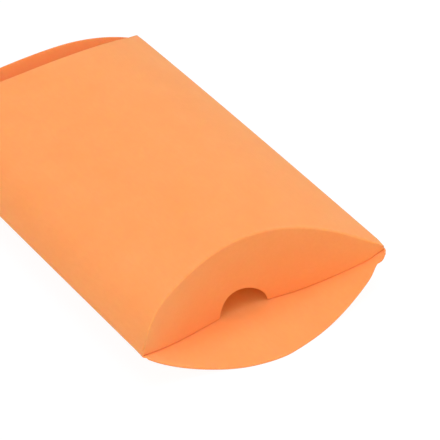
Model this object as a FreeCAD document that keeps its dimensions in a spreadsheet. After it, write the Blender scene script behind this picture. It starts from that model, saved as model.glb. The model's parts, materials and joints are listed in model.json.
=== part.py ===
"""Pillow box: a sleeve of two bowed card panels, shut at each end by a pair of curved flaps.

X runs across the width, Y along the length with the front end at -Y, and Z up.
The origin is the middle of the flat land under the bottom panel, where the box rests.
"""
import FreeCAD, Part
import math
import os
import Sketcher

doc = FreeCAD.newDocument("pillow_box")


def arc_radius(half_chord, rise):
    """Radius of the arc with this half chord and rise, as an expression."""
    return f"(({half_chord}) ^ 2 + ({rise}) ^ 2) / (2 * ({rise}))"


def bow_radius(reach, rise):
    """Radius of a panel that bows by rise and runs tangent into its side fold, as a cell."""
    fold = "Sizes.fold_radius"
    return f"=(({reach}) ^ 2 + {rise} ^ 2 - {fold} ^ 2) / (2 * ({rise} - {fold}))"


# Driving sizes in millimetres, and angles in degrees
DRIVING_SIZES = [
    ("width", 100.0, "across the box, over both side folds"),
    ("length", 158.0, "along a side fold, corner to corner"),
    ("top_rise", 17.0, "top panel above the side folds, at the middle"),
    ("bottom_drop", 15.0, "bottom panel below the side folds, at the middle"),
    ("left_bow_radius", 138.0, "outside of the top panel's left half"),
    ("shoulder_radius", 15.0, "outside of the top panel where it turns down to the left side fold"),
    ("card", 0.5, "thickness of the card"),
    ("fold_radius", 1.2, "outer radius of a side fold"),
    ("land_width", 8.0, "flat strip that the box rests on"),
    ("crease_inset", 16.0, "how far the end creases curve in from the corners"),
    ("crease_band", 1.5, "width of the scored band along a crease"),
    ("flap_gap", 0.9, "room between a flap and its scored band"),
    ("flap_end_inset", 4.5, "from a side fold to the end of a folded flap"),
    ("front_lean", 0.0, "lean of the front top flap, outwards"),
    ("rear_inner_lean", -8.0, "lean of the rear top flap, outwards"),
    ("rear_outer_lean", 25.0, "lean of the rear bottom flap, outwards"),
    ("shut_edge_gap", 0.3, "from a shut top flap's free edge to the bottom panel"),
    ("rear_outer_rise", 12.5, "free edge of the rear bottom flap above the side folds"),
    ("rear_outer_end_inset", 1.5, "from a side fold to the end of that free edge's arc"),
    ("open_reach", 12.4, "free edge of the open flap beyond the corners"),
    ("ear_radius", 2.0, "rounded ear at each end of the open flap"),
    ("notch_width", 19.6, "thumb notch in a top flap, along its free edge"),
    ("notch_depth", 8.6, "thumb notch in a top flap, up from its free edge"),
    ("notch_offset", 0.9, "thumb notch, off the middle of its flap"),
    ("tab_width", 10.0, "glue tab, across the box"),
    ("tab_end_inset", 14.0, "from a corner to the end of the glue tab"),
    ("glue", 0.1, "thickness of the glue film"),
]

# Sizes that follow from the driving ones
FOLLOWING_SIZES = [
    ("height", "=Sizes.top_rise + Sizes.bottom_drop", "over both panels at the middle"),
    ("middle", "=Sizes.bottom_drop", "height of the side folds"),
    ("half_width", "=Sizes.width / 2", "middle to a corner"),
    ("fold_x", "=half_width - Sizes.fold_radius", "centre line of a side fold"),
    ("land_x", "=Sizes.land_width / 2", "edge of the land"),
    ("top_radius", bow_radius("fold_x", "Sizes.top_rise"), "outside of the top panel"),
    ("bottom_radius", bow_radius("fold_x - land_x", "Sizes.bottom_drop"), "outside of the bottom panel"),
    ("even_radius", bow_radius("fold_x", "Sizes.bottom_drop"), "bottom panel's bow without the land"),
    ("top_span", "=asin(fold_x / (top_radius - Sizes.fold_radius)) / 1 deg", "half angle of the top panel"),
    (
        "bottom_span",
        "=asin((fold_x - land_x) / (bottom_radius - Sizes.fold_radius)) / 1 deg",
        "angle of each bowed half of the bottom panel",
    ),
    ("top_centre", "=height - top_radius", "height of the top panel's axis"),
    ("left_centre", "=height - Sizes.left_bow_radius", "height of the left half's axis"),
    ("left_reach", "=Sizes.left_bow_radius - Sizes.shoulder_radius", "left half's axis to the shoulder's"),
    ("shoulder_reach", "=Sizes.shoulder_radius - Sizes.fold_radius", "shoulder's axis to the fold's"),
    ("fold_rise", "=middle - left_centre", "left half's axis up to the side fold"),
    ("fold_reach", "=sqrt(fold_x ^ 2 + fold_rise ^ 2)", "left half's axis to the side fold's"),
    (
        "shoulder_along",
        "=(left_reach ^ 2 - shoulder_reach ^ 2 + fold_reach ^ 2) / (2 * fold_reach)",
        "shoulder's axis, along the line from the left half's axis to the fold's",
    ),
    ("shoulder_aside", "=sqrt(left_reach ^ 2 - shoulder_along ^ 2)", "shoulder's axis, off that line"),
    (
        "shoulder_x",
        "=(shoulder_along * fold_x - shoulder_aside * fold_rise) / fold_reach",
        "shoulder's axis, left of the middle",
    ),
    (
        "shoulder_z",
        "=left_centre + (shoulder_along * fold_rise + shoulder_aside * fold_x) / fold_reach",
        "height of the shoulder's axis",
    ),
    ("left_turn", "=asin(shoulder_x / left_reach) / 1 deg", "slope where the left half meets the shoulder"),
    (
        "shoulder_turn",
        "=acos((middle - shoulder_z) / shoulder_reach) / 1 deg",
        "slope where the shoulder meets the left side fold",
    ),
    ("crease_radius", "=" + arc_radius("half_width", "Sizes.crease_inset"), "end crease, from above"),
    ("crease_centre", "=Sizes.length / 2 - Sizes.crease_inset + crease_radius", "axis of an end crease"),
    ("crease_step", "=Sizes.card + Sizes.flap_gap", "from a panel's outside to a flap's crease edge"),
    ("shut_drop", "=middle - Sizes.card - Sizes.shut_edge_gap", "free edge of a shut top flap"),
    ("shut_radius", "=" + arc_radius("half_width", "shut_drop"), "arc of a shut flap's free edge"),
    ("outer_half", "=half_width - Sizes.rear_outer_end_inset", "half chord of the rear outer edge"),
    ("outer_radius", "=" + arc_radius("outer_half", "Sizes.rear_outer_rise"), "arc of the rear outer edge"),
    ("open_radius", "=" + arc_radius("half_width", "Sizes.open_reach"), "arc of the open flap's edge"),
    ("notch_radius", "=" + arc_radius("Sizes.notch_width / 2", "Sizes.notch_depth"), "thumb notch"),
    ("tab_span", "=Sizes.tab_width / (top_radius - Sizes.card) * 1 rad / 1 deg", "angle of the glue tab"),
]


def fill_sheet(name, rows):
    """Make a sheet with one aliased cell, and a note beside it, for each size."""
    sheet = doc.addObject("Spreadsheet::Sheet", name)
    for row, (alias, content, note) in enumerate(rows, start=1):
        sheet.set(f"A{row}", str(content))
        sheet.setAlias(f"A{row}", alias)
        sheet.set(f"B{row}", note)
    doc.recompute()
    return sheet


fill_sheet("Sizes", DRIVING_SIZES)
shapes = fill_sheet("Shapes", FOLLOWING_SIZES)


def number(expression):
    """Value of an expression on the sheets, for a sketch's first position."""
    return float(shapes.evalExpression(expression))


def origin_plane(body, role):
    """One of a body's own origin planes."""
    return next(feature for feature in body.Origin.OriginFeatures if feature.Role == role)


def sector_sketch(body, plane, centre, radii, angles):
    """Draw a piece of a ring: card bent to a round bow, seen along its axis.

    The centre is (across, up), the radii are (outer, inner) and the angles are (first, last),
    all as expressions on the sheets.
    """
    sketch = body.newObject("Sketcher::SketchObject", f"{body.Name}_section")
    sketch.AttachmentSupport = (origin_plane(body, plane), [""])
    sketch.MapMode = "FlatFace"
    middle = FreeCAD.Vector(number(centre[0]), number(centre[1]), 0)
    normal = FreeCAD.Vector(0, 0, 1)
    first, last = (math.radians(number(angle)) for angle in angles)
    corners = {}
    for side, radius in zip(("outer", "inner"), radii):
        circle = Part.Circle(middle, normal, number(radius))
        sketch.addGeometry(Part.ArcOfCircle(circle, first, last))
        corners[side] = (circle.value(first), circle.value(last))
    for end in (0, 1):
        sketch.addGeometry(Part.LineSegment(corners["inner"][end], corners["outer"][end]))
    outer, inner = 0, 1
    start_point, end_point, centre_point = 1, 2, 3
    sketch.addConstraint(Sketcher.Constraint("Coincident", outer, centre_point, inner, centre_point))
    for line, arc_point in ((2, start_point), (3, end_point)):
        sketch.addConstraint(Sketcher.Constraint("Coincident", line, start_point, inner, arc_point))
        sketch.addConstraint(Sketcher.Constraint("Coincident", line, end_point, outer, arc_point))
        sketch.addConstraint(Sketcher.Constraint("PointOnObject", outer, centre_point, line))
    bound = [
        ("across", Sketcher.Constraint("DistanceX", outer, centre_point, middle.x), centre[0]),
        ("up", Sketcher.Constraint("DistanceY", outer, centre_point, middle.y), centre[1]),
        ("outer_radius", Sketcher.Constraint("Radius", outer, number(radii[0])), radii[0]),
        ("inner_radius", Sketcher.Constraint("Radius", inner, number(radii[1])), radii[1]),
        ("first_angle", Sketcher.Constraint("Angle", 2, first), f"({angles[0]}) * 1 deg"),
        ("last_angle", Sketcher.Constraint("Angle", 3, last), f"({angles[1]}) * 1 deg"),
    ]
    for name, constraint, expression in bound:
        index = sketch.addConstraint(constraint)
        sketch.renameConstraint(index, name)
        sketch.setExpression(f"Constraints.{name}", expression)
    return sketch


def bowed_strip(name, centre, radii, angles, run):
    """Card bowed about an axis along Y, reaching half of run to each end."""
    body = doc.addObject("PartDesign::Body", name)
    pad = body.newObject("PartDesign::Pad", f"{name}_pad")
    pad.Profile = sector_sketch(body, "XZ_Plane", centre, radii, angles)
    pad.SideType = "Symmetric"
    pad.setExpression("Length", run)
    return body


def boolean(kind, name, base, tool):
    """Cut, Common or Fuse of two document objects."""
    joined = doc.addObject(f"Part::{kind}", name)
    joined.Base = base
    joined.Tool = tool
    return joined


def place(thing, x="0", y="0", z="0"):
    """Bind an object's position to expressions."""
    for axis, expression in zip("xyz", (x, y, z)):
        thing.setExpression(f"Placement.Base.{axis}", expression)
    return thing


def upright_disc(name, radius, x, y):
    """Cylinder on a vertical axis, taller than the box, that trims card seen from above."""
    disc = doc.addObject("Part::Cylinder", name)
    disc.setExpression("Radius", radius)
    disc.setExpression("Height", "3 * Shapes.height")
    return place(disc, x, y, "-Shapes.height")


def lying_disc(name, radius, z, x="0"):
    """Cylinder on an axis along Y, longer than the box, that trims card seen from the front."""
    disc = doc.addObject("Part::Cylinder", name)
    disc.setExpression("Radius", radius)
    disc.setExpression("Height", "2 * Sizes.length")
    disc.Placement.Rotation = FreeCAD.Rotation(FreeCAD.Vector(1, 0, 0), -90)
    return place(disc, x, "-Sizes.length", z)


def bowed_sleeve_wall(name, run):
    """Whole bottom wall: the land between two bowed halves, tangent to it."""
    radii = ("Shapes.bottom_radius", "Shapes.bottom_radius - Sizes.card")
    right = bowed_strip(
        f"{name}_right", ("Shapes.land_x", "Shapes.bottom_radius"), radii,
        ("270", "270 + Shapes.bottom_span"), run,
    )
    left = bowed_strip(
        f"{name}_left", ("-Shapes.land_x", "Shapes.bottom_radius"), radii,
        ("270 - Shapes.bottom_span", "270"), run,
    )
    land = doc.addObject("Part::Box", f"{name}_land")
    land.setExpression("Length", "Sizes.land_width")
    land.setExpression("Width", run)
    land.setExpression("Height", "Sizes.card")
    place(land, "-Shapes.land_x", f"-({run}) / 2")
    return boolean("Fuse", name, boolean("Fuse", f"{name}_half", right, land), left)


def shouldered_wall(name, run, grow, depth):
    """Whole top wall: a bowed right half, and a flatter left half that turns down over a shoulder.

    Grow is how far it reaches out from the top panel's outside, and depth how far it reaches in.
    """
    pieces = [
        ("right", ("0", "Shapes.top_centre"), "Shapes.top_radius", ("90 - Shapes.top_span", "90")),
        ("left", ("0", "Shapes.left_centre"), "Sizes.left_bow_radius", ("90", "90 + Shapes.left_turn")),
        (
            "shoulder", ("-Shapes.shoulder_x", "Shapes.shoulder_z"), "Sizes.shoulder_radius",
            ("90 + Shapes.left_turn", "90 + Shapes.shoulder_turn"),
        ),
    ]
    right, left, shoulder = (
        bowed_strip(f"{name}_{piece}", centre, (f"{radius} + {grow}", f"{radius} - {depth}"), angles, run)
        for piece, centre, radius, angles in pieces
    )
    return boolean("Fuse", name, boolean("Fuse", f"{name}_half", right, left), shoulder)


def folded_flap(name, end, hinge, lean, outline):
    """Flap folded across the mouth of the sleeve: a bowed wall, trimmed to its outline.

    End is -1 at the front and 1 at the rear, and hinge is 1 for a top flap and -1 for a bottom one.
    The wall starts at the end crease, and its straight lines lean outwards by the angle in lean.
    """
    slope = f"tan({lean} * 1 deg)"
    rise = {1: "Sizes.top_rise", -1: "Sizes.bottom_drop"}[hinge]
    inset = f"(Sizes.crease_inset - {rise} * {slope})"
    radius = arc_radius("Shapes.half_width", inset)
    axis_y = f"{end} * (Sizes.length / 2 - {inset} + {radius})"
    span = f"asin((Shapes.half_width - Sizes.flap_end_inset) / ({radius})) / 1 deg"
    facing = f"{-90 * end}"
    wall = doc.addObject("PartDesign::Body", f"{name}_wall")
    pad = wall.newObject("PartDesign::Pad", f"{name}_wall_pad")
    pad.Profile = sector_sketch(
        wall, "XY_Plane", ("0", axis_y), (f"{radius} + Sizes.card", radius),
        (f"{facing} - {span}", f"{facing} + {span}"),
    )
    pad.SideType = "Symmetric"
    pad.setExpression("Length", "2 * Shapes.height")
    pad.UseCustomVector = True
    pad.AlongSketchNormal = True
    pad.setExpression("Direction.x", "0")
    pad.setExpression("Direction.y", f"{-end * hinge} * {slope}")
    pad.setExpression("Direction.z", "1")
    place(wall, z="Shapes.middle")
    return boolean("Common", name, wall, outline)


nodes = {}

# Panels, and the scored bands at their ends
strip_run = "Sizes.length + 4 * Sizes.open_reach"
top_strip = shouldered_wall("top_strip", strip_run, "0", "Sizes.card")
bottom_strip = bowed_sleeve_wall("bottom_strip", strip_run)
mouths = {}
for end_name, end in (("front", -1), ("rear", 1)):
    axis = f"{end} * Shapes.crease_centre"
    mouths[end_name] = upright_disc(f"{end_name}_mouth", "Shapes.crease_radius", "0", axis)
    mouths[f"{end_name}_band"] = upright_disc(
        f"{end_name}_mouth_band", "Shapes.crease_radius + Sizes.crease_band", "0", axis
    )
both_bands = boolean("Fuse", "both_bands", mouths["front_band"], mouths["rear_band"])
for side, strip in (("top", top_strip), ("bottom", bottom_strip)):
    nodes[f"{side}_panel"] = boolean("Cut", f"{side}_panel", strip, both_bands)
    for end_name in ("front", "rear"):
        ring = boolean(
            "Cut", f"{end_name}_{side}_ring", mouths[f"{end_name}_band"], mouths[end_name]
        )
        crease = f"{end_name}_{side}_crease"
        nodes[crease] = boolean("Common", crease, strip, ring)

# Side folds, tangent to both panels
fold_radii = ("Sizes.fold_radius", "Sizes.fold_radius - Sizes.card")
nodes["right_side_fold"] = bowed_strip(
    "right_side_fold", ("Shapes.fold_x", "Shapes.middle"), fold_radii,
    ("Shapes.bottom_span - 90", "90 - Shapes.top_span"), "Sizes.length",
)
nodes["left_side_fold"] = bowed_strip(
    "left_side_fold", ("-Shapes.fold_x", "Shapes.middle"), fold_radii,
    ("90 + Shapes.shoulder_turn", "270 - Shapes.bottom_span"), "Sizes.length",
)

# Glue tab under the top panel's right edge, and the film that holds it
tab_angles = ("90 - Shapes.top_span", "90 - Shapes.top_span + Shapes.tab_span")
tab_run = "Sizes.length - 2 * Sizes.tab_end_inset"
film_radius = "Shapes.top_radius - Sizes.card"
tab_radius = f"{film_radius} - Sizes.glue"
nodes["glue_line"] = bowed_strip(
    "glue_line", ("0", "Shapes.top_centre"), (film_radius, tab_radius), tab_angles, tab_run
)
nodes["glue_tab"] = bowed_strip(
    "glue_tab", ("0", "Shapes.top_centre"), (tab_radius, f"{tab_radius} - Sizes.card"), tab_angles, tab_run
)

# Outlines of the folded flaps, seen from the front
top_band = shouldered_wall("top_band", strip_run, "Shapes.height", "Shapes.crease_step")
bottom_clear = lying_disc("bottom_clear", "Shapes.even_radius - Shapes.crease_step", "Shapes.even_radius")
shut_floor = "Shapes.middle - Shapes.shut_drop"
shut_edge = lying_disc("shut_edge", "Shapes.shut_radius", f"{shut_floor} + Shapes.shut_radius")
outer_top = "Shapes.middle + Sizes.rear_outer_rise"
outer_edge = lying_disc("outer_edge", "Shapes.outer_radius", f"{outer_top} - Shapes.outer_radius")
notch_top = f"{shut_floor} + Sizes.notch_depth"
thumb = lying_disc("thumb", "Shapes.notch_radius", f"{notch_top} - Shapes.notch_radius", "Sizes.notch_offset")
top_lens = boolean("Cut", "top_lens", boolean("Cut", "top_lens_whole", shut_edge, top_band), thumb)
bottom_lens = boolean("Common", "bottom_lens", bottom_clear, outer_edge)

# Folded flaps
nodes["front_top_flap"] = folded_flap("front_top_flap", -1, 1, "Sizes.front_lean", top_lens)
nodes["rear_top_flap"] = folded_flap("rear_top_flap", 1, 1, "Sizes.rear_inner_lean", top_lens)
nodes["rear_bottom_flap"] = folded_flap("rear_bottom_flap", 1, -1, "Sizes.rear_outer_lean", bottom_lens)

# Open flap: the bottom wall carried on past its crease, with an ear at each end
front_y = "-Sizes.length / 2"
open_outline = upright_disc(
    "open_outline", "Shapes.open_radius", "0", f"{front_y} - Sizes.open_reach + Shapes.open_radius"
)
for ear_name, side in (("left_ear", -1), ("right_ear", 1)):
    ear = upright_disc(
        ear_name, "Sizes.ear_radius", f"{side} * (Shapes.half_width - Sizes.ear_radius)", front_y
    )
    open_outline = boolean("Fuse", f"open_outline_{ear_name}", open_outline, ear)
open_mouth = upright_disc(
    "open_mouth", "Shapes.crease_radius - Sizes.flap_gap", "0", "-Shapes.crease_centre"
)
open_lens = boolean("Common", "open_lens", open_outline, open_mouth)
nodes["front_bottom_flap"] = boolean("Common", "front_bottom_flap", bottom_strip, open_lens)

for node, thing in nodes.items():
    thing.Label = node
doc.recompute()

for thing in doc.Objects:
    if "Invalid" in thing.State or "Error" in thing.State:
        raise RuntimeError(f"{thing.Name} failed: {thing.State}")
for node, thing in nodes.items():
    if thing.Shape.isNull() or not thing.Shape.isValid():
        raise RuntimeError(f"{node} has no valid shape")

os.makedirs("parts", exist_ok=True)
for node, thing in nodes.items():
    thing.Shape.exportStep(f"parts/{node}.step")
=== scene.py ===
"""Pillow box of matte orange card: the folded sleeve, its four end flaps and the studio round it."""
import json
import logging
import math
from collections.abc import Callable
from dataclasses import dataclass
from enum import Enum

import bmesh
import bpy
import numpy as np
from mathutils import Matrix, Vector


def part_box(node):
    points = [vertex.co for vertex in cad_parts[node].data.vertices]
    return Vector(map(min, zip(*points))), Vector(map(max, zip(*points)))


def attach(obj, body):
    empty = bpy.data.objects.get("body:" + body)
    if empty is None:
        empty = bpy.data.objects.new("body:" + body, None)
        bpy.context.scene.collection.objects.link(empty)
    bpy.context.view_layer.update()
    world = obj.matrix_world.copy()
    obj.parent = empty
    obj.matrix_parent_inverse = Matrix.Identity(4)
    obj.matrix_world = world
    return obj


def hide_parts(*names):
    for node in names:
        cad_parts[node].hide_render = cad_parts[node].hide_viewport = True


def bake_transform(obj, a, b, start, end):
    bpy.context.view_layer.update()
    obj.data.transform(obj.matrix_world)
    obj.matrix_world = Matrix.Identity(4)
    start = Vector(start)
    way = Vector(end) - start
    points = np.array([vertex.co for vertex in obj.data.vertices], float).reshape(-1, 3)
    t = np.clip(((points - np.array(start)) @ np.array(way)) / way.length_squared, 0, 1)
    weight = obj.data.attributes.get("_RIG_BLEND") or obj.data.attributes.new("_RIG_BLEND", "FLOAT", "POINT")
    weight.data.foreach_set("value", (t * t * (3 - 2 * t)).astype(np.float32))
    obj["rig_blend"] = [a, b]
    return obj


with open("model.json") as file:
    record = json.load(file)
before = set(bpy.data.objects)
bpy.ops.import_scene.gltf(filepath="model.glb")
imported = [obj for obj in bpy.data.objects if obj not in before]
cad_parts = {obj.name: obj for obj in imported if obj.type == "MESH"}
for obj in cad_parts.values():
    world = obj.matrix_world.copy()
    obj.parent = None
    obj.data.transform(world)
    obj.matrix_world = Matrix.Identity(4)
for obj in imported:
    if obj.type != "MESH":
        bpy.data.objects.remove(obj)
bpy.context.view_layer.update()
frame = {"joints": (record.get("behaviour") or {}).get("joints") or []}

LOG = logging.getLogger("pillow_box")
MM = 0.001
WEAR = "crease_wear"
HALF_OPEN = 45.0


class End(Enum):
    """The two ends of the sleeve, by their side of the Y axis."""

    FRONT = -1
    REAR = 1


class Panel(Enum):
    """The two bowed panels, by the way that their outer face looks along Z."""

    TOP = 1
    BOTTOM = -1


class FreeEdge(Enum):
    """How the free edge of an end flap is cut."""

    NOTCHED = "round edge with a thumb notch"
    PLAIN = "plain round edge"
    EARED = "round edge with a small ear at each end"


@dataclass(frozen=True)
class BoxForm:
    """Sizes of the folded box in millimetres, and the curves that follow from them.

    A swell is the way (out, up) that a side fold is moved. corner_swell is its share at the corners,
    left and right.
    """

    half_width: float
    half_length: float
    height: float
    fold_height: float = 15.0
    card: float = 0.5
    glue: float = 0.1
    fold_radius: float = 1.2
    seam_radius: float = 0.75
    land: float = 12.0
    left_shoulder: float = 4.5
    right_swell: tuple[float, float] = (1.4, 0.6)
    left_swell: tuple[float, float] = (-0.6, -0.2)
    swell_fade: float = 4.0
    swell_taper: float = 0.7
    taper_power: int = 3
    swell_power: int = 4
    corner_swell: tuple[float, float] = (1.2, 0.7)
    flap_swell_reach: float = 1.6
    crease_inset: float = 16.0
    bend_setback: float = 1.1
    corner_setback: float = 0.15
    corner_reach: float = 8.0

    @classmethod
    def from_frame(cls) -> "BoxForm":
        """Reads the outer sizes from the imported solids."""
        fold_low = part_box("left_side_fold")[0] / MM
        top_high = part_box("top_panel")[1] / MM
        return cls(half_width=-fold_low.x, half_length=-fold_low.y, height=top_high.z)

    @property
    def fold_x(self) -> float:
        """Distance of a side fold's own centre from the middle."""
        return self.half_width - self.fold_radius

    @property
    def top_radius(self) -> float:
        """Radius of the top panel's outer face, which runs tangent into both folds."""
        rise = self.height - self.fold_height - self.fold_radius
        return bow_radius(self.fold_x, rise) + self.fold_radius

    @property
    def top_centre(self) -> float:
        """Height of the centre of the top panel's bow."""
        return self.height - self.top_radius

    @property
    def top_span(self) -> float:
        """Angle from the top of the bow to a fold, in radians."""
        return math.asin(self.fold_x / (self.top_radius - self.fold_radius))

    @property
    def bottom_radius(self) -> float:
        """Radius of the bottom panel's two bows, each side of the flat land."""
        drop = self.fold_height - self.fold_radius
        return bow_radius(self.fold_x - self.land, drop) + self.fold_radius

    @property
    def bottom_span(self) -> float:
        """Angle from the land to a fold, in radians."""
        return math.asin((self.fold_x - self.land) / (self.bottom_radius - self.fold_radius))

    @property
    def tab_radius(self) -> float:
        """Radius of the glue tab's outer face, one card and a glue film under the top panel."""
        return self.top_radius - self.card - self.glue

    @property
    def seam_centre(self) -> tuple[float, float]:
        """Centre (x, z) of the tight fold at the seam, tangent to the bottom panel and to the tab."""
        low = self.bottom_radius - self.seam_radius
        high = self.tab_radius - self.seam_radius
        apart = math.hypot(self.land, self.bottom_radius - self.top_centre)
        along = (low**2 - high**2 + apart**2) / (2 * apart)
        aside = math.sqrt(low**2 - along**2)
        down_x = -self.land / apart
        down_z = (self.top_centre - self.bottom_radius) / apart
        return (
            self.land + along * down_x - aside * down_z,
            self.bottom_radius + along * down_z + aside * down_x,
        )

    def shoulder(self, x: np.ndarray) -> np.ndarray:
        """How far the left of the top panel stands above an even bow, at x."""
        share = np.clip(-x / self.half_width, 0.0, 1.0)
        # The curve share**5 * (1 - share**2) is highest where share**2 is 5 / 7.
        peak = math.sqrt(5.0 / 7.0)
        return self.left_shoulder * share**5 * (1.0 - share**2) / (peak**5 * (1.0 - peak**2))

    def top_height(self, x: np.ndarray) -> np.ndarray:
        """Height of the top panel's outer face at x."""
        return self.top_centre + np.sqrt(self.top_radius**2 - x**2) + self.shoulder(x)

    def floor_height(self, x: np.ndarray, inset: float) -> np.ndarray:
        """Height at x of the curve that runs an inset inside the bottom panel's outer face."""
        out = np.maximum(np.abs(x) - self.land, 0.0)
        return self.bottom_radius - np.sqrt((self.bottom_radius - inset) ** 2 - out**2)

    def bottom_height(self, x: np.ndarray) -> np.ndarray:
        """Height of the bottom panel's outer face at x, carried on round the lower half of a fold.

        Args:
            x: Distances from the middle, in millimetres.

        Returns:
            Heights above the table, in millimetres.
        """
        bow = self.floor_height(x, 0.0)
        past = np.clip(np.abs(x) - self.fold_x, 0.0, self.fold_radius)
        fold = self.fold_height - np.sqrt(self.fold_radius**2 - past**2)
        return np.where(past > self.fold_radius * math.sin(self.bottom_span), fold, bow)

    def crease_reach(self, x: np.ndarray) -> np.ndarray:
        """Distance of an end crease from the middle of the length, at x."""
        radius = bow_radius(self.half_width, self.crease_inset)
        return self.half_length - self.crease_inset + radius - np.sqrt(radius**2 - x**2)

    def swell(self, place: Vector) -> Vector:
        """How far the card beside a side fold stands out from the plain section.

        Args:
            place: A point of the sleeve or of a flap, in millimetres.

        Returns:
            The way to move it; it dies out over the first of a flap.
        """
        across = np.array(place.x)
        room = self.bend_start(across) - abs(place.y)
        rearwards = np.clip((place.y + self.half_length) / (2.0 * self.half_length), 0.0, 1.0)
        at_corner = self.corner_swell[place.x > 0.0]
        inside = at_corner + (1.0 - at_corner) * smooth_step(room / self.swell_fade)
        share = (1.0 - self.swell_taper * rearwards**self.taper_power) * inside
        share *= 1.0 - smooth_step(-room / self.flap_swell_reach)
        out, up = self.right_swell if place.x > 0.0 else self.left_swell
        return Vector((out, 0.0, up)) * float(share * (across / self.half_width) ** self.swell_power)

    def setback(self, x: np.ndarray) -> np.ndarray:
        """How far before a crease the card starts to bend; it bends tighter towards the corners."""
        share = smooth_step((self.half_width - np.abs(x)) / self.corner_reach)
        return self.corner_setback + (self.bend_setback - self.corner_setback) * share

    def bend_start(self, x: np.ndarray) -> np.ndarray:
        """Distance from the middle of the length at which the card starts to bend, at x."""
        return self.crease_reach(x) - self.setback(x)


@dataclass(frozen=True)
class CardFinish:
    """Uncoated card dyed through and calendered: dead matt, with a soft cloudy tone from its pulp.

    The fibres lie mostly along the sheet, and a crease or fold shows paler where they have been stretched.
    """

    name: str
    shade: str
    pale_shade: str
    worn_shade: str
    fuzz_shade: str = "#ffe9d6"
    roughness: tuple[float, float] = (0.82, 0.94)
    cloud_mm: float = 14.0
    cloud_detail: float = 3.0
    fibre_mm: float = 1.1
    fibre_stretch: float = 0.3
    fibre_detail: float = 5.0
    fibre_roughness: float = 0.6
    tone_range: tuple[float, float] = (0.12, 0.4)
    bump_mm: float = 0.015
    bump_strength: float = 0.35
    wear: float = 0.12
    rub_range: tuple[float, float] = (0.3, 0.7)
    refraction: float = 1.52
    sheen: float = 0.12
    sheen_roughness: float = 0.6
    glow_through: float = 0.6
    glow_depth: tuple[float, float, float] = (1.0, 0.3, 0.08)
    glow_mm: float = 0.5
    let_through: str = "#cbb240"

    def make(self) -> bpy.types.Material:
        """Makes the card's material.

        Returns:
            The finished material.
        """
        material, tree, surface = new_material(self.name)
        place = add_node(tree, "ShaderNodeTexCoord").outputs["Object"]
        along = add_node(
            tree, "ShaderNodeMapping", {"Vector": place, "Scale": (1.0, self.fibre_stretch, 1.0)}
        )
        cloud = add_node(
            tree,
            "ShaderNodeTexNoise",
            {"Vector": place, "Scale": 1.0 / (self.cloud_mm * MM), "Detail": self.cloud_detail},
        )
        # Real fibres are finer than the picture can show, so they are drawn about three times as coarse.
        fibre = add_node(
            tree,
            "ShaderNodeTexNoise",
            {
                "Vector": along.outputs["Vector"],
                "Scale": 1.0 / (self.fibre_mm * MM),
                "Detail": self.fibre_detail,
                "Roughness": self.fibre_roughness,
            },
        )
        pulp = add_node(
            tree,
            "ShaderNodeMath",
            {0: cloud.outputs["Fac"], 1: fibre.outputs["Fac"]},
            operation="MULTIPLY",
        )
        tone = add_node(
            tree,
            "ShaderNodeMapRange",
            {"Value": pulp.outputs[0], "From Min": self.tone_range[0], "From Max": self.tone_range[1]},
        )
        colour = add_node(
            tree,
            "ShaderNodeMix",
            {"Factor": tone.outputs["Result"], 6: linear(self.shade), 7: linear(self.pale_shade)},
            data_type="RGBA",
        )
        crease = add_node(tree, "ShaderNodeAttribute", attribute_name=WEAR)
        rubbed = add_node(
            tree,
            "ShaderNodeMapRange",
            {
                "Value": fibre.outputs["Fac"],
                "From Min": self.rub_range[0],
                "From Max": self.rub_range[1],
                "To Min": 0.0,
                "To Max": self.wear,
            },
        )
        worn = add_node(
            tree,
            "ShaderNodeMath",
            {0: crease.outputs["Fac"], 1: rubbed.outputs["Result"]},
            operation="MULTIPLY",
        )
        dressed = add_node(
            tree,
            "ShaderNodeMix",
            {"Factor": worn.outputs[0], 6: colour.outputs[2], 7: linear(self.worn_shade)},
            data_type="RGBA",
        )
        matt = add_node(
            tree,
            "ShaderNodeMapRange",
            {"Value": fibre.outputs["Fac"], "To Min": self.roughness[0], "To Max": self.roughness[1]},
        )
        felt = add_node(
            tree,
            "ShaderNodeBump",
            {
                "Height": fibre.outputs["Fac"],
                "Strength": self.bump_strength,
                "Distance": self.bump_mm * MM,
            },
        )
        feed(tree, surface, {
            "Base Color": dressed.outputs[2],
            "Roughness": matt.outputs["Result"],
            "Normal": felt.outputs["Normal"],
            "IOR": self.refraction,
            "Sheen Weight": self.sheen,
            "Sheen Roughness": self.sheen_roughness,
            "Sheen Tint": linear(self.fuzz_shade),
            "Subsurface Weight": self.glow_through,
            "Subsurface Radius": self.glow_depth,
            "Subsurface Scale": self.glow_mm * MM,
        })
        # Some warm light passes each face of the card, and is what lights the inside of the shut box.
        passing = add_node(tree, "ShaderNodeBsdfTransparent", {"Color": linear(self.let_through)})
        path = add_node(tree, "ShaderNodeLightPath")
        thin = add_node(
            tree,
            "ShaderNodeMixShader",
            {0: path.outputs["Is Shadow Ray"], 1: surface.outputs["BSDF"], 2: passing.outputs[0]},
        )
        tree.links.new(thin.outputs[0], tree.nodes["Material Output"].inputs["Surface"])
        return material


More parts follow.
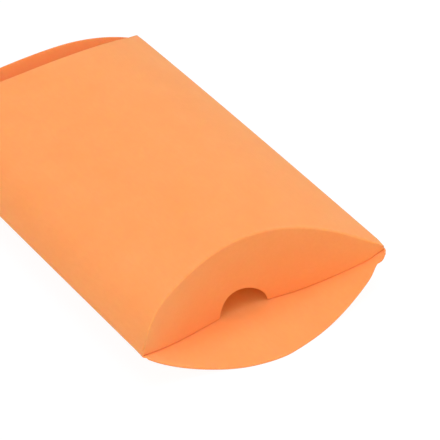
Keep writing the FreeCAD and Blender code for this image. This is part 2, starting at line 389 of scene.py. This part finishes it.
@dataclass(frozen=True)
class GlueFilm:
    """White glue rolled on thin and dried: a pale, slightly glossy skin, uneven where the roller lifted."""

    name: str = "dried_white_glue"
    shade: str = "#e2d9bd"
    thin_shade: str = "#e8c79a"
    blot_mm: float = 3.0
    blot_detail: float = 4.0
    roughness: tuple[float, float] = (0.3, 0.55)
    bump_mm: float = 0.03
    bump_strength: float = 0.4
    refraction: float = 1.46

    def make(self) -> bpy.types.Material:
        """Makes the glue's material.

        Returns:
            The finished material.
        """
        material, tree, surface = new_material(self.name)
        place = add_node(tree, "ShaderNodeTexCoord").outputs["Object"]
        blots = add_node(
            tree,
            "ShaderNodeTexNoise",
            {"Vector": place, "Scale": 1.0 / (self.blot_mm * MM), "Detail": self.blot_detail},
        )
        colour = add_node(
            tree,
            "ShaderNodeMix",
            {"Factor": blots.outputs["Fac"], 6: linear(self.thin_shade), 7: linear(self.shade)},
            data_type="RGBA",
        )
        gloss = add_node(
            tree,
            "ShaderNodeMapRange",
            {"Value": blots.outputs["Fac"], "To Min": self.roughness[0], "To Max": self.roughness[1]},
        )
        skin = add_node(
            tree,
            "ShaderNodeBump",
            {
                "Height": blots.outputs["Fac"],
                "Strength": self.bump_strength,
                "Distance": self.bump_mm * MM,
            },
        )
        feed(tree, surface, {
            "Base Color": colour.outputs[2],
            "Roughness": gloss.outputs["Result"],
            "Normal": skin.outputs["Normal"],
            "IOR": self.refraction,
        })
        return material


@dataclass(frozen=True)
class PaperSweep:
    """White background paper, washed out by the studio light, that still takes the box's soft shadow."""

    name: str = "white_background_paper"
    shade: str = "#e6e6e6"
    roughness: float = 0.9
    glow: float = 0.93
    seen_share: float = 0.1

    def make(self) -> bpy.types.Material:
        """Makes the paper's material: seen directly it is nearly white, and as a reflector it is plain paper.

        Returns:
            The finished material.
        """
        material, tree, surface = new_material(self.name)
        feed(tree, surface, {
            "Base Color": linear(self.shade),
            "Roughness": self.roughness,
            "Specular IOR Level": 0.0,
        })
        paper = surface.outputs["BSDF"]
        shown = add_node(tree, "ShaderNodeEmission", {"Color": (1.0, 1.0, 1.0, 1.0), "Strength": self.glow})
        thin = add_node(tree, "ShaderNodeBsdfDiffuse", {"Color": (self.seen_share,) * 3 + (1.0,)})
        washed = add_node(tree, "ShaderNodeAddShader", {0: shown.outputs[0], 1: thin.outputs[0]})
        path = add_node(tree, "ShaderNodeLightPath")
        mirrored = add_node(
            tree,
            "ShaderNodeMath",
            {0: path.outputs["Is Camera Ray"], 1: path.outputs["Is Glossy Ray"]},
            operation="MAXIMUM",
        )
        looked_at = add_node(
            tree,
            "ShaderNodeMath",
            {0: mirrored.outputs[0], 1: path.outputs["Is Transmission Ray"]},
            operation="MAXIMUM",
        )
        mixed = add_node(
            tree, "ShaderNodeMixShader", {0: looked_at.outputs[0], 1: paper, 2: washed.outputs[0]}
        )
        tree.links.new(mixed.outputs[0], tree.nodes["Material Output"].inputs["Surface"])
        return material


@dataclass(frozen=True)
class CardFinishes:
    """The finishes of the card: its calendered faces and its die-cut edges."""

    face: bpy.types.Material
    cut: bpy.types.Material


@dataclass
class Sleeve:
    """The tube of the box: top panel, side folds and bottom panel in one sheet, and its glue tab."""

    form: BoxForm
    top_steps: int = 80
    fold_steps: int = 12
    bottom_steps: int = 36
    land_steps: int = 4
    tab_steps: int = 8
    rows: int = 72
    tab_width: float = 10.0
    tab_end_inset: float = 14.0
    film_margin: float = 1.0
    wear_reach: float = 2.2
    end_wear: float = 0.6

    def build(self, finishes: CardFinishes, glue: bpy.types.Material) -> list[bpy.types.Object]:
        """Builds the sleeve's pieces and puts them on the frame.

        Args:
            finishes: Materials of the card.
            glue: Material of the glue.

        Returns:
            The wrap, the glue tab and the glue film.
        """
        wrap = self.build_wrap(finishes)
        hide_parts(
            "top_panel", "bottom_panel", "left_side_fold", "right_side_fold",
            "front_top_crease", "front_bottom_crease", "rear_top_crease", "rear_bottom_crease",
        )
        tab = self.build_tab(finishes)
        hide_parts("glue_tab")
        film = self.build_film(glue)
        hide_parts("glue_line")
        for piece, slot in ((wrap, "card"), (tab, "card"), (film, "glue")):
            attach(piece, "sleeve")
        return [wrap, tab, film]

    def build_wrap(self, finishes: CardFinishes) -> bpy.types.Object:
        """Bends the section of the sleeve from a single point and draws it out along the box.

        Args:
            finishes: Materials of the card.

        Returns:
            The wrap, from the top panel's cut edge round to the seam.
        """
        form = self.form
        seam_x, seam_z = form.seam_centre
        seam_low = math.atan2(seam_x - form.land, form.bottom_radius - seam_z)
        seam_high = self.seam_angle
        bm = bmesh.new()
        start = (
            form.top_radius * math.sin(form.top_span),
            -1.0,
            form.top_centre + form.top_radius * math.cos(form.top_span),
        )
        tip = bm.verts.new(start)
        tip = bend(bm, tip, (0.0, form.top_centre), 2.0 * form.top_span, self.top_steps)
        fold_turn = math.pi - form.top_span - form.bottom_span
        tip = bend(bm, tip, (-form.fold_x, form.fold_height), fold_turn, self.fold_steps)
        tip = bend(bm, tip, (-form.land, form.bottom_radius), form.bottom_span, self.bottom_steps)
        tip = run_straight(bm, tip, (2.0 * form.land, 0.0, 0.0), self.land_steps)
        tip = bend(bm, tip, (form.land, form.bottom_radius), seam_low, self.bottom_steps)
        bend(bm, tip, (seam_x, seam_z), math.pi - seam_low - seam_high, self.fold_steps)
        draw_out(bm, self.rows)
        joined = {vert for vert in bm.verts if abs(vert.co.y) > 1.0 - 0.5 / self.rows}
        edge_x = seam_x + form.seam_radius * math.sin(seam_high)
        edge_z = seam_z + form.seam_radius * math.cos(seam_high)
        for vert in bm.verts:
            if math.hypot(vert.co.x - edge_x, vert.co.z - edge_z) < form.glue:
                joined.add(vert)
            across = np.array(vert.co.x)
            vert.co.y *= float(form.bend_start(across))
            if vert.co.z > form.fold_height:
                vert.co.z += float(form.shoulder(across))
            vert.co += form.swell(vert.co)
        face_towards(bm, lambda face: Vector((0.0, 0.0, face.calc_center_median().z - form.fold_height)))
        thicken_card(bm, form.card, joined)
        wrap = to_piece(bm, "sleeve_wrap", finishes.face, finishes.cut)
        points = piece_points(wrap)
        at_fold = 1.0 - (form.half_width - np.abs(points[:, 0])) / self.wear_reach
        at_end = 1.0 - (form.bend_start(points[:, 0]) - np.abs(points[:, 1])) / self.wear_reach
        write_shares(wrap, WEAR, smooth_step(np.maximum(at_fold, self.end_wear * at_end)))
        return wrap

    def build_tab(self, finishes: CardFinishes) -> bpy.types.Object:
        """Bends the glue tab on from the seam, under the top panel, with slanted ends.

        Args:
            finishes: Materials of the card.

        Returns:
            The glue tab.
        """
        form = self.form
        root_x = form.tab_radius * math.sin(self.seam_angle)
        root_reach = float(form.bend_start(np.array(root_x)))
        bm, joined = self.bend_strip(form.tab_radius, root_reach, form.half_length - self.tab_end_inset)
        thicken_card(bm, form.card, joined)
        tab = to_piece(bm, "glue_tab_strip", finishes.face, finishes.cut)
        points = piece_points(tab)
        write_shares(tab, WEAR, smooth_step(1.0 - (root_x - points[:, 0]) / self.wear_reach))
        return tab

    def build_film(self, glue: bpy.types.Material) -> bpy.types.Object:
        """Lays the glue film between the tab and the top panel.

        Args:
            glue: Material of the glue.

        Returns:
            The glue film.
        """
        form = self.form
        reach = form.half_length - self.tab_end_inset - self.film_margin
        bm, _ = self.bend_strip(form.top_radius - form.card, reach, reach)
        thicken_card(bm, form.glue, set(bm.verts))
        return to_piece(bm, "glue_film", glue)

    @property
    def seam_angle(self) -> float:
        """Angle from the top of the bow to the glued seam, in radians."""
        seam_x, seam_z = self.form.seam_centre
        return math.atan2(seam_x, seam_z - self.form.top_centre)

    def bend_strip(
        self, radius: float, root_reach: float, tip_reach: float
    ) -> tuple[bmesh.types.BMesh, set[bmesh.types.BMVert]]:
        """Bends a strip as wide as the tab on from the seam, under the top panel.

        Args:
            radius: Radius of its outer face.
            root_reach: Half of its length along the seam.
            tip_reach: Half of its length along its inner edge.

        Returns:
            The strip, and its points along the seam.
        """
        form = self.form
        turn = self.tab_width / form.tab_radius
        root_x = radius * math.sin(self.seam_angle)
        tip_x = radius * math.sin(self.seam_angle - turn)
        bm = bmesh.new()
        start = (root_x, -1.0, form.top_centre + radius * math.cos(self.seam_angle))
        bend(bm, bm.verts.new(start), (0.0, form.top_centre), turn, self.tab_steps)
        draw_out(bm, self.rows)
        root = {vert for vert in bm.verts if abs(vert.co.x - root_x) < form.glue}
        for vert in bm.verts:
            vert.co.y *= root_reach - (root_reach - tip_reach) * (root_x - vert.co.x) / (root_x - tip_x)
            vert.co += form.swell(vert.co)
        face_towards(bm, lambda face: Vector((0.0, 0.0, 1.0)))
        return bm, root


@dataclass
class EndFlap:
    """One end flap: card that bends off its panel along a curved crease and runs to its free edge.

    A lean is the angle from upright, outwards: 0 stands shut, and 90 carries the panel straight on.
    Sizes in pairs of edges, ears and dips are for the left and the right of the flap.
    """

    form: BoxForm
    name: str
    body: str
    joint: str
    end: End
    panel: Panel
    free_edge: FreeEdge
    lean: float
    half_span: float
    crease_step: float = 0.0
    edge_gap: float = 0.3
    edge_middle: float = 0.8
    edge_radius: float = 100.34
    edge_depths: tuple[float, float] = (11.6, 32.4)
    edge_spreads: tuple[float, float] = (30.0, 90.7)
    edge_powers: tuple[float, float] = (2.0, 1.39)
    notch_centre: tuple[float, float] = (1.2, -0.2)
    notch_radius: float = 9.884
    notch_skew: float = 0.2
    ear_radii: tuple[float, float] = (0.5, 2.0)
    ear_dips: tuple[float, float] = (0.0, 1.0)
    dip_inset: float = 4.0
    dip_spread: float = 2.6
    belly: float = 0.0
    belly_rise: float = 26.0
    belly_end: float = 44.0
    belly_fade: float = 6.0
    ear_zone: float = 2.0
    columns_each_side: int = 44
    tight_columns: int = 36
    bend_rows: int = 12
    wall_rows: int = 22
    bend_zone: float = 2.4
    most_bent: float = 0.6
    bend_share: float = 0.62
    wear_reach: float = 1.8
    search_near: float = 4.0
    search_far: float = 1.3
    search_steps: int = 240

    def build(self, finishes: CardFinishes) -> bpy.types.Object:
        """Builds the flap, puts it on the frame and hangs it on its crease.

        Args:
            finishes: Materials of the card.

        Returns:
            The finished flap.
        """
        columns = self.columns()
        rows = self.bend_rows + self.wall_rows
        bm = bmesh.new()
        bmesh.ops.create_grid(bm, x_segments=len(columns) - 1, y_segments=rows, size=1.0)
        joined = {vert for vert in bm.verts if vert.co.y < 0.5 / rows - 1.0}
        for vert in bm.verts:
            across = np.array(columns[round((vert.co.x + 1.0) / 2.0 * (len(columns) - 1))])
            along = self.row_length(across, round((vert.co.y + 1.0) / 2.0 * rows))
            vert.co = Vector((float(across), *map(float, self.section(across, along, self.lean))))
        turn = math.radians(90.0 - self.lean)
        outwards = Vector((0.0, self.end.value * math.sin(turn), self.panel.value * math.cos(turn)))
        face_towards(bm, lambda face: outwards)
        thicken_card(bm, self.form.card, joined)
        points = np.array([vert.co[:] for vert in bm.verts])
        for vert in bm.verts:
            vert.co += self.form.swell(vert.co)
        flap = to_piece(bm, self.name + "_card", finishes.face, finishes.cut)
        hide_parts(self.name)
        along = self.length_at(points)
        bend_at = self.form.setback(points[:, 0]) + self.crease_step
        write_shares(flap, WEAR, smooth_step(1.0 - np.abs(along - bend_at) / self.wear_reach))
        self.hang(flap, points[:, 0], along)
        return flap

    def columns(self) -> np.ndarray:
        """Places of the mesh's columns across the flap, closer together where the outline turns tightly.

        Returns:
            Distances from the middle, in millimetres, left to right.
        """
        span = self.half_span
        if self.free_edge is FreeEdge.NOTCHED:
            middle, low = self.notch_centre
            half = math.sqrt(1.0 - ((self.form.card + self.edge_gap - low) / self.notch_radius) ** 2)
            even = half * np.sin(np.linspace(-math.pi / 2, math.pi / 2, self.tight_columns + 1))
            notch = middle + self.notch_radius * (even - self.notch_skew * (1.0 - even**2))
            left = np.linspace(-span, notch[0], self.columns_each_side)[:-1]
            right = np.linspace(notch[-1], span, self.columns_each_side)[1:]
            return np.concatenate([left, notch, right])
        if self.free_edge is FreeEdge.EARED:
            inner = self.form.half_width - self.ear_zone * max(self.ear_radii)
            ear = np.linspace(inner, span, self.tight_columns // 2)
            middle_part = np.linspace(-inner, inner, 2 * self.columns_each_side)[1:-1]
            return np.concatenate([-ear[::-1], middle_part, ear])
        return np.linspace(-span, span, 2 * self.columns_each_side + 1)

    def bend_parts(self, x: np.ndarray, lean: float) -> tuple[np.ndarray, np.ndarray, float]:
        """Sizes of the bend at a given lean.

        Args:
            x: Distances from the middle.
            lean: Angle from upright, in degrees.

        Returns:
            The straight run before the bend, the bend's radius, and its angle in radians.
        """
        turn = math.radians(90.0 - lean)
        setback = self.form.setback(x)
        radius = self.bend_share * setback
        return setback + self.crease_step - radius * math.tan(turn / 2.0), radius, turn

    def section(self, x: np.ndarray, along: np.ndarray, lean: float) -> tuple[np.ndarray, np.ndarray]:
        """Where a point of the outer face lies when the flap stands at a given lean.

        Args:
            x: Distances from the middle.
            along: Lengths of card from the start of the flap.
            lean: Angle from upright, in degrees.

        Returns:
            The y and z of the points, in millimetres.
        """
        run, radius, turn = self.bend_parts(x, lean)
        angle = np.clip((along - run) / radius, 0.0, turn)
        past = np.maximum(along - run - radius * turn, 0.0)
        out = np.minimum(along, run) + radius * np.sin(angle) + past * math.cos(turn)
        folded = radius * (1.0 - np.cos(angle)) + past * math.sin(turn)
        if self.belly:
            bulge = self.bulge(x) * past
            out = out + bulge * math.sin(turn)
            folded = folded - bulge * math.cos(turn)
        y = self.end.value * (self.form.bend_start(x) + out)
        return y, self.panel_height(x) - self.panel.value * folded

    def bulge(self, x: np.ndarray) -> np.ndarray:
        """How far the right of a shut flap stands out, for each millimetre of card past the bend.

        Args:
            x: Distances from the middle.

        Returns:
            Shares of the length of card.
        """
        share = smooth_step(x / self.belly_rise)
        share = share * (1.0 - smooth_step((x - self.belly_end) / self.belly_fade))
        drop = self.panel_height(x) - self.form.floor_height(x, self.form.card + self.edge_gap)
        return self.belly * share / drop

    def panel_height(self, x: np.ndarray) -> np.ndarray:
        """Height of the outer face of the panel that the flap belongs to."""
        return self.form.top_height(x) if self.panel is Panel.TOP else self.form.bottom_height(x)

    def free_length(self, x: np.ndarray) -> np.ndarray:
        """Length of card from the start of the flap to its free edge.

        Args:
            x: Distances from the middle.

        Returns:
            Lengths in millimetres.
        """
        if self.free_edge is FreeEdge.EARED:
            radius = np.where(x < 0.0, *self.ear_radii)
            ear = np.sqrt(np.maximum(radius**2 - (np.abs(x) - self.form.half_width + radius) ** 2, 0.0))
            depth, spread = np.where(x < 0.0, *self.edge_depths), np.where(x < 0.0, *self.edge_spreads)
            power = np.where(x < 0.0, *self.edge_powers)
            edge = self.edge_middle - depth * (1.0 - np.exp(-(np.abs(x / spread) ** power)))
            behind_ear = (self.form.half_width - np.abs(x) - self.dip_inset) / self.dip_spread
            edge = edge - np.where(x < 0.0, *self.ear_dips) * np.exp(-(behind_ear**2))
            reach = np.maximum(edge, self.form.half_length + ear)
            return reach - self.form.bend_start(x)
        if self.free_edge is FreeEdge.NOTCHED:
            across = np.clip((x - self.notch_centre[0]) / self.notch_radius, -1.0, 1.0)
            skew = self.notch_skew
            even = (np.sqrt(1.0 + 4.0 * skew * (skew + across)) - 1.0) / (2.0 * skew)
            floor = self.form.floor_height(x, self.form.card + self.edge_gap)
            arch = self.notch_radius * np.sqrt(np.maximum(1.0 - even**2, 0.0))
            edge = np.maximum(floor, self.notch_centre[1] + arch)
        else:
            edge = self.edge_middle - self.edge_radius + np.sqrt(self.edge_radius**2 - x**2)
        run, radius, turn = self.bend_parts(x, self.lean)
        folded = np.abs(self.panel_height(x) - edge)
        return run + radius * turn + (folded - radius * (1.0 - math.cos(turn))) / math.sin(turn)

    def row_length(self, x: np.ndarray, row: int) -> np.ndarray:
        """Length of card from the start of the flap to a row of the mesh, with fine rows in the bend.

        Args:
            x: Distances from the middle.
            row: Number of the row, from the sleeve.

        Returns:
            Lengths in millimetres.
        """
        free = self.free_length(x)
        bent = np.minimum(self.bend_zone * self.form.setback(x) + self.crease_step, self.most_bent * free)
        if row <= self.bend_rows:
            return bent * row / self.bend_rows
        return bent + (free - bent) * (row - self.bend_rows) / self.wall_rows

    def length_at(self, points: np.ndarray) -> np.ndarray:
        """Finds how far along the card each finished point lies.

        Args:
            points: Points of the mesh at rest, in millimetres.

        Returns:
            Lengths of card from the start of the flap.
        """
        near = self.search_near * self.form.bend_setback
        far = self.search_far * float(self.free_length(np.array(0.0))) + self.notch_radius
        fine = np.linspace(0.0, near, self.search_steps)
        lengths = np.concatenate([fine, np.linspace(near, far, self.search_steps)[1:]])
        y, z = self.section(points[:, :1], lengths[None, :], self.lean)
        apart = (y - points[:, 1:2]) ** 2 + (z - points[:, 2:3]) ** 2
        return lengths[np.argmin(apart, axis=1)]

    def hang(self, flap: bpy.types.Object, x: np.ndarray, along: np.ndarray) -> None:
        """Hangs the flap between the sleeve and its body, so that it folds on its own curved crease.

        Each point's share of the swing is the angle that it turns about the hinge when the card folds at
        the crease.

        Args:
            flap: The finished flap.
            x: Distance of each point from the middle.
            along: Length of card from the start of the flap to each point.
        """
        joint = next(j for j in frame["joints"] if j["name"] == self.joint)
        hinge = Vector(joint["pos_m"])
        swing = max(joint["range_deg"], key=abs)
        open_way = 1.0 if self.lean < HALF_OPEN else -1.0
        rest_y, rest_z = self.section(x, along, self.lean)
        far_y, far_z = self.section(x, along, self.lean + open_way * abs(swing))
        rest = np.arctan2(rest_z - hinge.z / MM, rest_y - hinge.y / MM)
        moved = np.arctan2(far_z - hinge.z / MM, far_y - hinge.y / MM) - rest
        moved = (moved + math.pi) % (2.0 * math.pi) - math.pi
        depth = float(self.free_length(np.array(0.0))) * MM
        inwards = Vector((0.0, self.end.value, -self.panel.value)) * depth / 2.0
        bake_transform(flap, "sleeve", self.body, start=hinge, end=hinge + inwards)
        write_shares(flap, "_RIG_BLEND", np.clip(moved / math.radians(joint["axis"][0] * swing), 0.0, 1.0))


@dataclass(frozen=True)
class Softbox:
    """A square soft lamp that looks at the box; place and size are in metres."""

    name: str
    place: tuple[float, float, float]
    watts: float
    tint: str = "#ffffff"
    size: float = 1.0

    def hang(self) -> None:
        """Hangs the lamp in the scene."""
        data = bpy.data.lights.new(self.name, "AREA")
        data.size = self.size
        data.energy = self.watts
        data.color = linear(self.tint)[:3]
        lamp = bpy.data.objects.new(self.name, data)
        lamp.location = self.place
        lamp.rotation_mode = "QUATERNION"
        lamp.rotation_quaternion = (-Vector(self.place)).to_track_quat("-Z", "Y")
        bpy.context.scene.collection.objects.link(lamp)


@dataclass
class Studio:
    """Floor, lamps and camera, placed as the photograph was taken."""

    azimuth: float = -34.256
    elevation: float = 38.058
    distance: float = 1101.8
    aim: tuple[float, float, float] = (0.0, -79.0, 15.0)
    aside: float = -15.939
    above: float = 28.0
    focal_px: float = 3218.4
    frame_px: float = 440.0
    sensor: float = 36.0
    floor_cells: int = 8
    floor_reach: float = 4.0
    sky: float = 0.40
    softboxes: tuple[Softbox, ...] = (
        Softbox("left_softbox", (-0.95, -0.3, 0.8), 4.87),
        Softbox("right_softbox", (0.95, -0.3, 0.8), 3.99),
        Softbox("top_softbox", (0.0, 0.0, 1.3), 9.08, "#e7e4ff"),
        Softbox("front_softbox", (0.0, -1.2, 0.4), 2.75, "#fbffe9"),
    )

    def build(self) -> None:
        """Sets the floor, the lamps, the world and the camera."""
        self.lay_floor()
        for softbox in self.softboxes:
            softbox.hang()
        self.set_world()
        self.set_camera()
        bpy.context.scene.view_settings.view_transform = "Standard"

    def lay_floor(self) -> None:
        """Lays the background paper under the box."""
        bm = bmesh.new()
        cells = self.floor_cells
        bmesh.ops.create_grid(bm, x_segments=cells, y_segments=cells, size=self.floor_reach)
        mesh = bpy.data.meshes.new("floor_paper")
        bm.to_mesh(mesh)
        bm.free()
        floor = bpy.data.objects.new("floor_paper", mesh)
        bpy.context.scene.collection.objects.link(floor)
        mesh.materials.append(PaperSweep().make())

    def set_world(self) -> None:
        """Fills the room with even white light."""
        world = bpy.data.worlds.new("white_room")
        world.use_nodes = True
        bpy.context.scene.world = world
        tree = world.node_tree
        feed(tree, tree.nodes["Background"], {"Color": (1.0, 1.0, 1.0, 1.0), "Strength": self.sky})

    def set_camera(self) -> None:
        """Stands the camera where the photograph was taken from."""
        turn, tilt = math.radians(self.azimuth), math.radians(self.elevation)
        back = Vector((math.sin(turn) * math.cos(tilt), -math.cos(turn) * math.cos(tilt), math.sin(tilt)))
        right = Vector((math.cos(turn), math.sin(turn), 0.0))
        offset = right * self.aside + back.cross(right) * self.above + back * self.distance
        data = bpy.data.cameras.new("photo_camera")
        data.sensor_width = self.sensor
        data.lens = self.focal_px / self.frame_px * self.sensor
        camera = bpy.data.objects.new("photo_camera", data)
        camera.location = (Vector(self.aim) + offset) * MM
        camera.rotation_mode = "QUATERNION"
        camera.rotation_quaternion = (-back).to_track_quat("-Z", "Y")
        bpy.context.scene.collection.objects.link(camera)
        bpy.context.scene.camera = camera


def bow_radius(reach: float, rise: float) -> float:
    """Radius of an arc from its half chord and its rise."""
    return (reach**2 + rise**2) / (2.0 * rise)


def smooth_step(share: np.ndarray) -> np.ndarray:
    """Eases a share from 0 to 1."""
    held = np.clip(share, 0.0, 1.0)
    return held * held * (3.0 - 2.0 * held)


def linear(shade: str) -> tuple[float, float, float, float]:
    """Turns an sRGB hex colour to linear RGBA.

    Args:
        shade: Colour such as "#f9914b".

    Returns:
        Linear red, green and blue, and an alpha of 1.
    """
    parts = [int(shade[k:k + 2], 16) / 255.0 for k in (1, 3, 5)]
    red, green, blue = (p / 12.92 if p <= 0.04045 else ((p + 0.055) / 1.055) ** 2.4 for p in parts)
    return red, green, blue, 1.0


def new_material(name: str) -> tuple[bpy.types.Material, bpy.types.NodeTree, bpy.types.Node]:
    """Starts a material.

    Args:
        name: Name of the material.

    Returns:
        The material, its node tree and its surface shader.
    """
    material = bpy.data.materials.new(name)
    material.use_nodes = True
    return material, material.node_tree, material.node_tree.nodes["Principled BSDF"]


def feed(tree: bpy.types.NodeTree, node: bpy.types.Node, inputs: dict[str | int, object]) -> None:
    """Gives a node's inputs their values or links.

    Args:
        tree: Tree that holds the node.
        node: The node.
        inputs: Value or output socket for each input, by name or number.
    """
    for key, value in inputs.items():
        if isinstance(value, bpy.types.NodeSocket):
            tree.links.new(value, node.inputs[key])
        else:
            node.inputs[key].default_value = value


def add_node(
    tree: bpy.types.NodeTree, kind: str, inputs: dict[str | int, object] | None = None, **settings: object
) -> bpy.types.Node:
    """Adds a node to a tree.

    Args:
        tree: Tree to add to.
        kind: Type of the node.
        inputs: Value or output socket for each input, by name or number.
        **settings: Properties of the node.

    Returns:
        The new node.
    """
    node = tree.nodes.new(kind)
    for key, value in settings.items():
        setattr(node, key, value)
    feed(tree, node, inputs or {})
    return node


def bend(
    bm: bmesh.types.BMesh, tip: bmesh.types.BMVert, centre: tuple[float, float], turn: float, steps: int
) -> bmesh.types.BMVert:
    """Carries a section on round an arc, anticlockwise as seen from the front.

    Args:
        bm: Mesh that holds the section.
        tip: Last point of the section.
        centre: Centre (x, z) of the arc.
        turn: Angle of the arc in radians.
        steps: Number of edges along it.

    Returns:
        The new last point.
    """
    turned = bmesh.ops.spin(
        bm, geom=[tip], cent=(centre[0], 0.0, centre[1]), axis=(0.0, 1.0, 0.0), dvec=(0.0, 0.0, 0.0),
        angle=-turn, steps=steps, use_merge=False, use_duplicate=False,
    )
    return turned["geom_last"][0]


def run_straight(
    bm: bmesh.types.BMesh, tip: bmesh.types.BMVert, path: tuple[float, float, float], steps: int
) -> bmesh.types.BMVert:
    """Carries a section on along a straight line.

    Args:
        bm: Mesh that holds the section.
        tip: Last point of the section.
        path: The whole way to go.
        steps: Number of edges along it.

    Returns:
        The new last point.
    """
    drawn = bmesh.ops.spin(
        bm, geom=[tip], cent=(0.0, 0.0, 0.0), axis=(0.0, 1.0, 0.0), dvec=Vector(path) / steps,
        angle=0.0, steps=steps, use_merge=False, use_duplicate=False,
    )
    return drawn["geom_last"][0]


def draw_out(bm: bmesh.types.BMesh, rows: int) -> None:
    """Draws a section at y = -1 out to y = 1.

    Args:
        bm: Mesh that holds the section.
        rows: Number of rows of faces.
    """
    bmesh.ops.spin(
        bm, geom=bm.verts[:] + bm.edges[:], cent=(0.0, 0.0, 0.0), axis=(0.0, 1.0, 0.0),
        dvec=(0.0, 2.0 / rows, 0.0), angle=0.0, steps=rows, use_merge=False, use_duplicate=False,
    )


def face_towards(bm: bmesh.types.BMesh, direction: Callable[[bmesh.types.BMFace], Vector]) -> None:
    """Turns a sheet over if its faces look the wrong way.

    Args:
        bm: The sheet.
        direction: Function that gives the way a face has to look.
    """
    bm.normal_update()
    if sum(face.normal.dot(direction(face)) for face in bm.faces) < 0.0:
        bmesh.ops.reverse_faces(bm, faces=bm.faces[:])
        bm.normal_update()


def thicken_card(
    bm: bmesh.types.BMesh, card: float, joined: set[bmesh.types.BMVert], soft: float = 0.07
) -> None:
    """Gives a sheet the thickness of the card, and softens and marks its cut edges.

    Args:
        bm: The sheet, in millimetres, with its outer face looking out.
        card: Thickness of the card.
        joined: Points of the edges where the card carries on into the next piece.
        soft: Width of the softened corner of a cut edge.
    """
    outer = set(bm.verts)
    bmesh.ops.solidify(bm, geom=bm.faces[:], thickness=card)
    corners = []
    for face in bm.faces:
        face.smooth = True
        outside = [vert for vert in face.verts if vert in outer]
        if not 0 < len(outside) < len(face.verts):
            continue
        carries_on = all(vert in joined for vert in outside)
        face.material_index = 0 if carries_on else 1
        for edge in face.edges:
            if (edge.verts[0] in outer) == (edge.verts[1] in outer):
                edge.smooth = not carries_on
                if not carries_on:
                    corners.append(edge)
    bmesh.ops.bevel(
        bm, geom=corners, offset=soft, offset_type="OFFSET", segments=2, profile=0.5,
        affect="EDGES", material=-1, clamp_overlap=True,
    )


def to_piece(bm: bmesh.types.BMesh, name: str, *materials: bpy.types.Material) -> bpy.types.Object:
    """Makes a piece of the box from a mesh in millimetres.

    Args:
        bm: The finished mesh, which is freed.
        name: Name of the piece.
        *materials: Its materials, in the order that its faces number them.

    Returns:
        The piece, in metres.
    """
    bmesh.ops.scale(bm, vec=(MM, MM, MM), verts=bm.verts[:])
    mesh = bpy.data.meshes.new(name)
    bm.to_mesh(mesh)
    bm.free()
    for material in materials:
        mesh.materials.append(material)
    piece = bpy.data.objects.new(name, mesh)
    bpy.context.scene.collection.objects.link(piece)
    return piece


def piece_points(piece: bpy.types.Object) -> np.ndarray:
    """Points of a piece's mesh, in millimetres."""
    flat = np.empty(3 * len(piece.data.vertices), np.float32)
    piece.data.vertices.foreach_get("co", flat)
    return flat.reshape(-1, 3).astype(float) / MM


def write_shares(piece: bpy.types.Object, name: str, shares: np.ndarray) -> None:
    """Keeps a share from 0 to 1 with each point of a piece.

    Args:
        piece: The piece.
        name: Name of the attribute.
        shares: One number for each point.
    """
    attributes = piece.data.attributes
    kept = attributes.get(name) or attributes.new(name, "FLOAT", "POINT")
    kept.data.foreach_set("value", shares.astype(np.float32))


def main() -> None:
    """Builds the box, dresses it and sets the studio."""
    logging.basicConfig(level=logging.INFO, format="%(name)s: %(message)s")
    form = BoxForm.from_frame()
    finishes = CardFinishes(
        face=CardFinish("uncoated_dyed_card", "#fc984c", "#ff9d52", "#ffad6a").make(),
        cut=CardFinish(
            "die_cut_card_edge", "#f89449", "#fe9b51", "#ffa863", fibre_mm=0.4, bump_mm=0.05
        ).make(),
    )
    pieces = Sleeve(form).build(finishes, GlueFilm().make())
    flaps = (
        EndFlap(form, "front_top_flap", "front_top", "front_top_fold", End.FRONT, Panel.TOP,
                FreeEdge.NOTCHED, lean=0.0, half_span=49.2, belly=1.1),
        EndFlap(form, "front_bottom_flap", "front_bottom", "front_bottom_fold", End.FRONT, Panel.BOTTOM,
                FreeEdge.EARED, lean=90.0, half_span=49.9, crease_step=0.9, edge_middle=91.9),
        EndFlap(form, "rear_top_flap", "rear_top", "rear_top_fold", End.REAR, Panel.TOP,
                FreeEdge.NOTCHED, lean=-8.0, half_span=49.0),
        EndFlap(form, "rear_bottom_flap", "rear_bottom", "rear_bottom_fold", End.REAR, Panel.BOTTOM,
                FreeEdge.PLAIN, lean=25.0, half_span=48.8, edge_middle=27.5),
    )
    pieces += [flap.build(finishes) for flap in flaps]
    for piece in pieces:
        LOG.info("%s: %d faces", piece.name, len(piece.data.polygons))
    Studio().build()


if __name__ == "__main__":
    main()
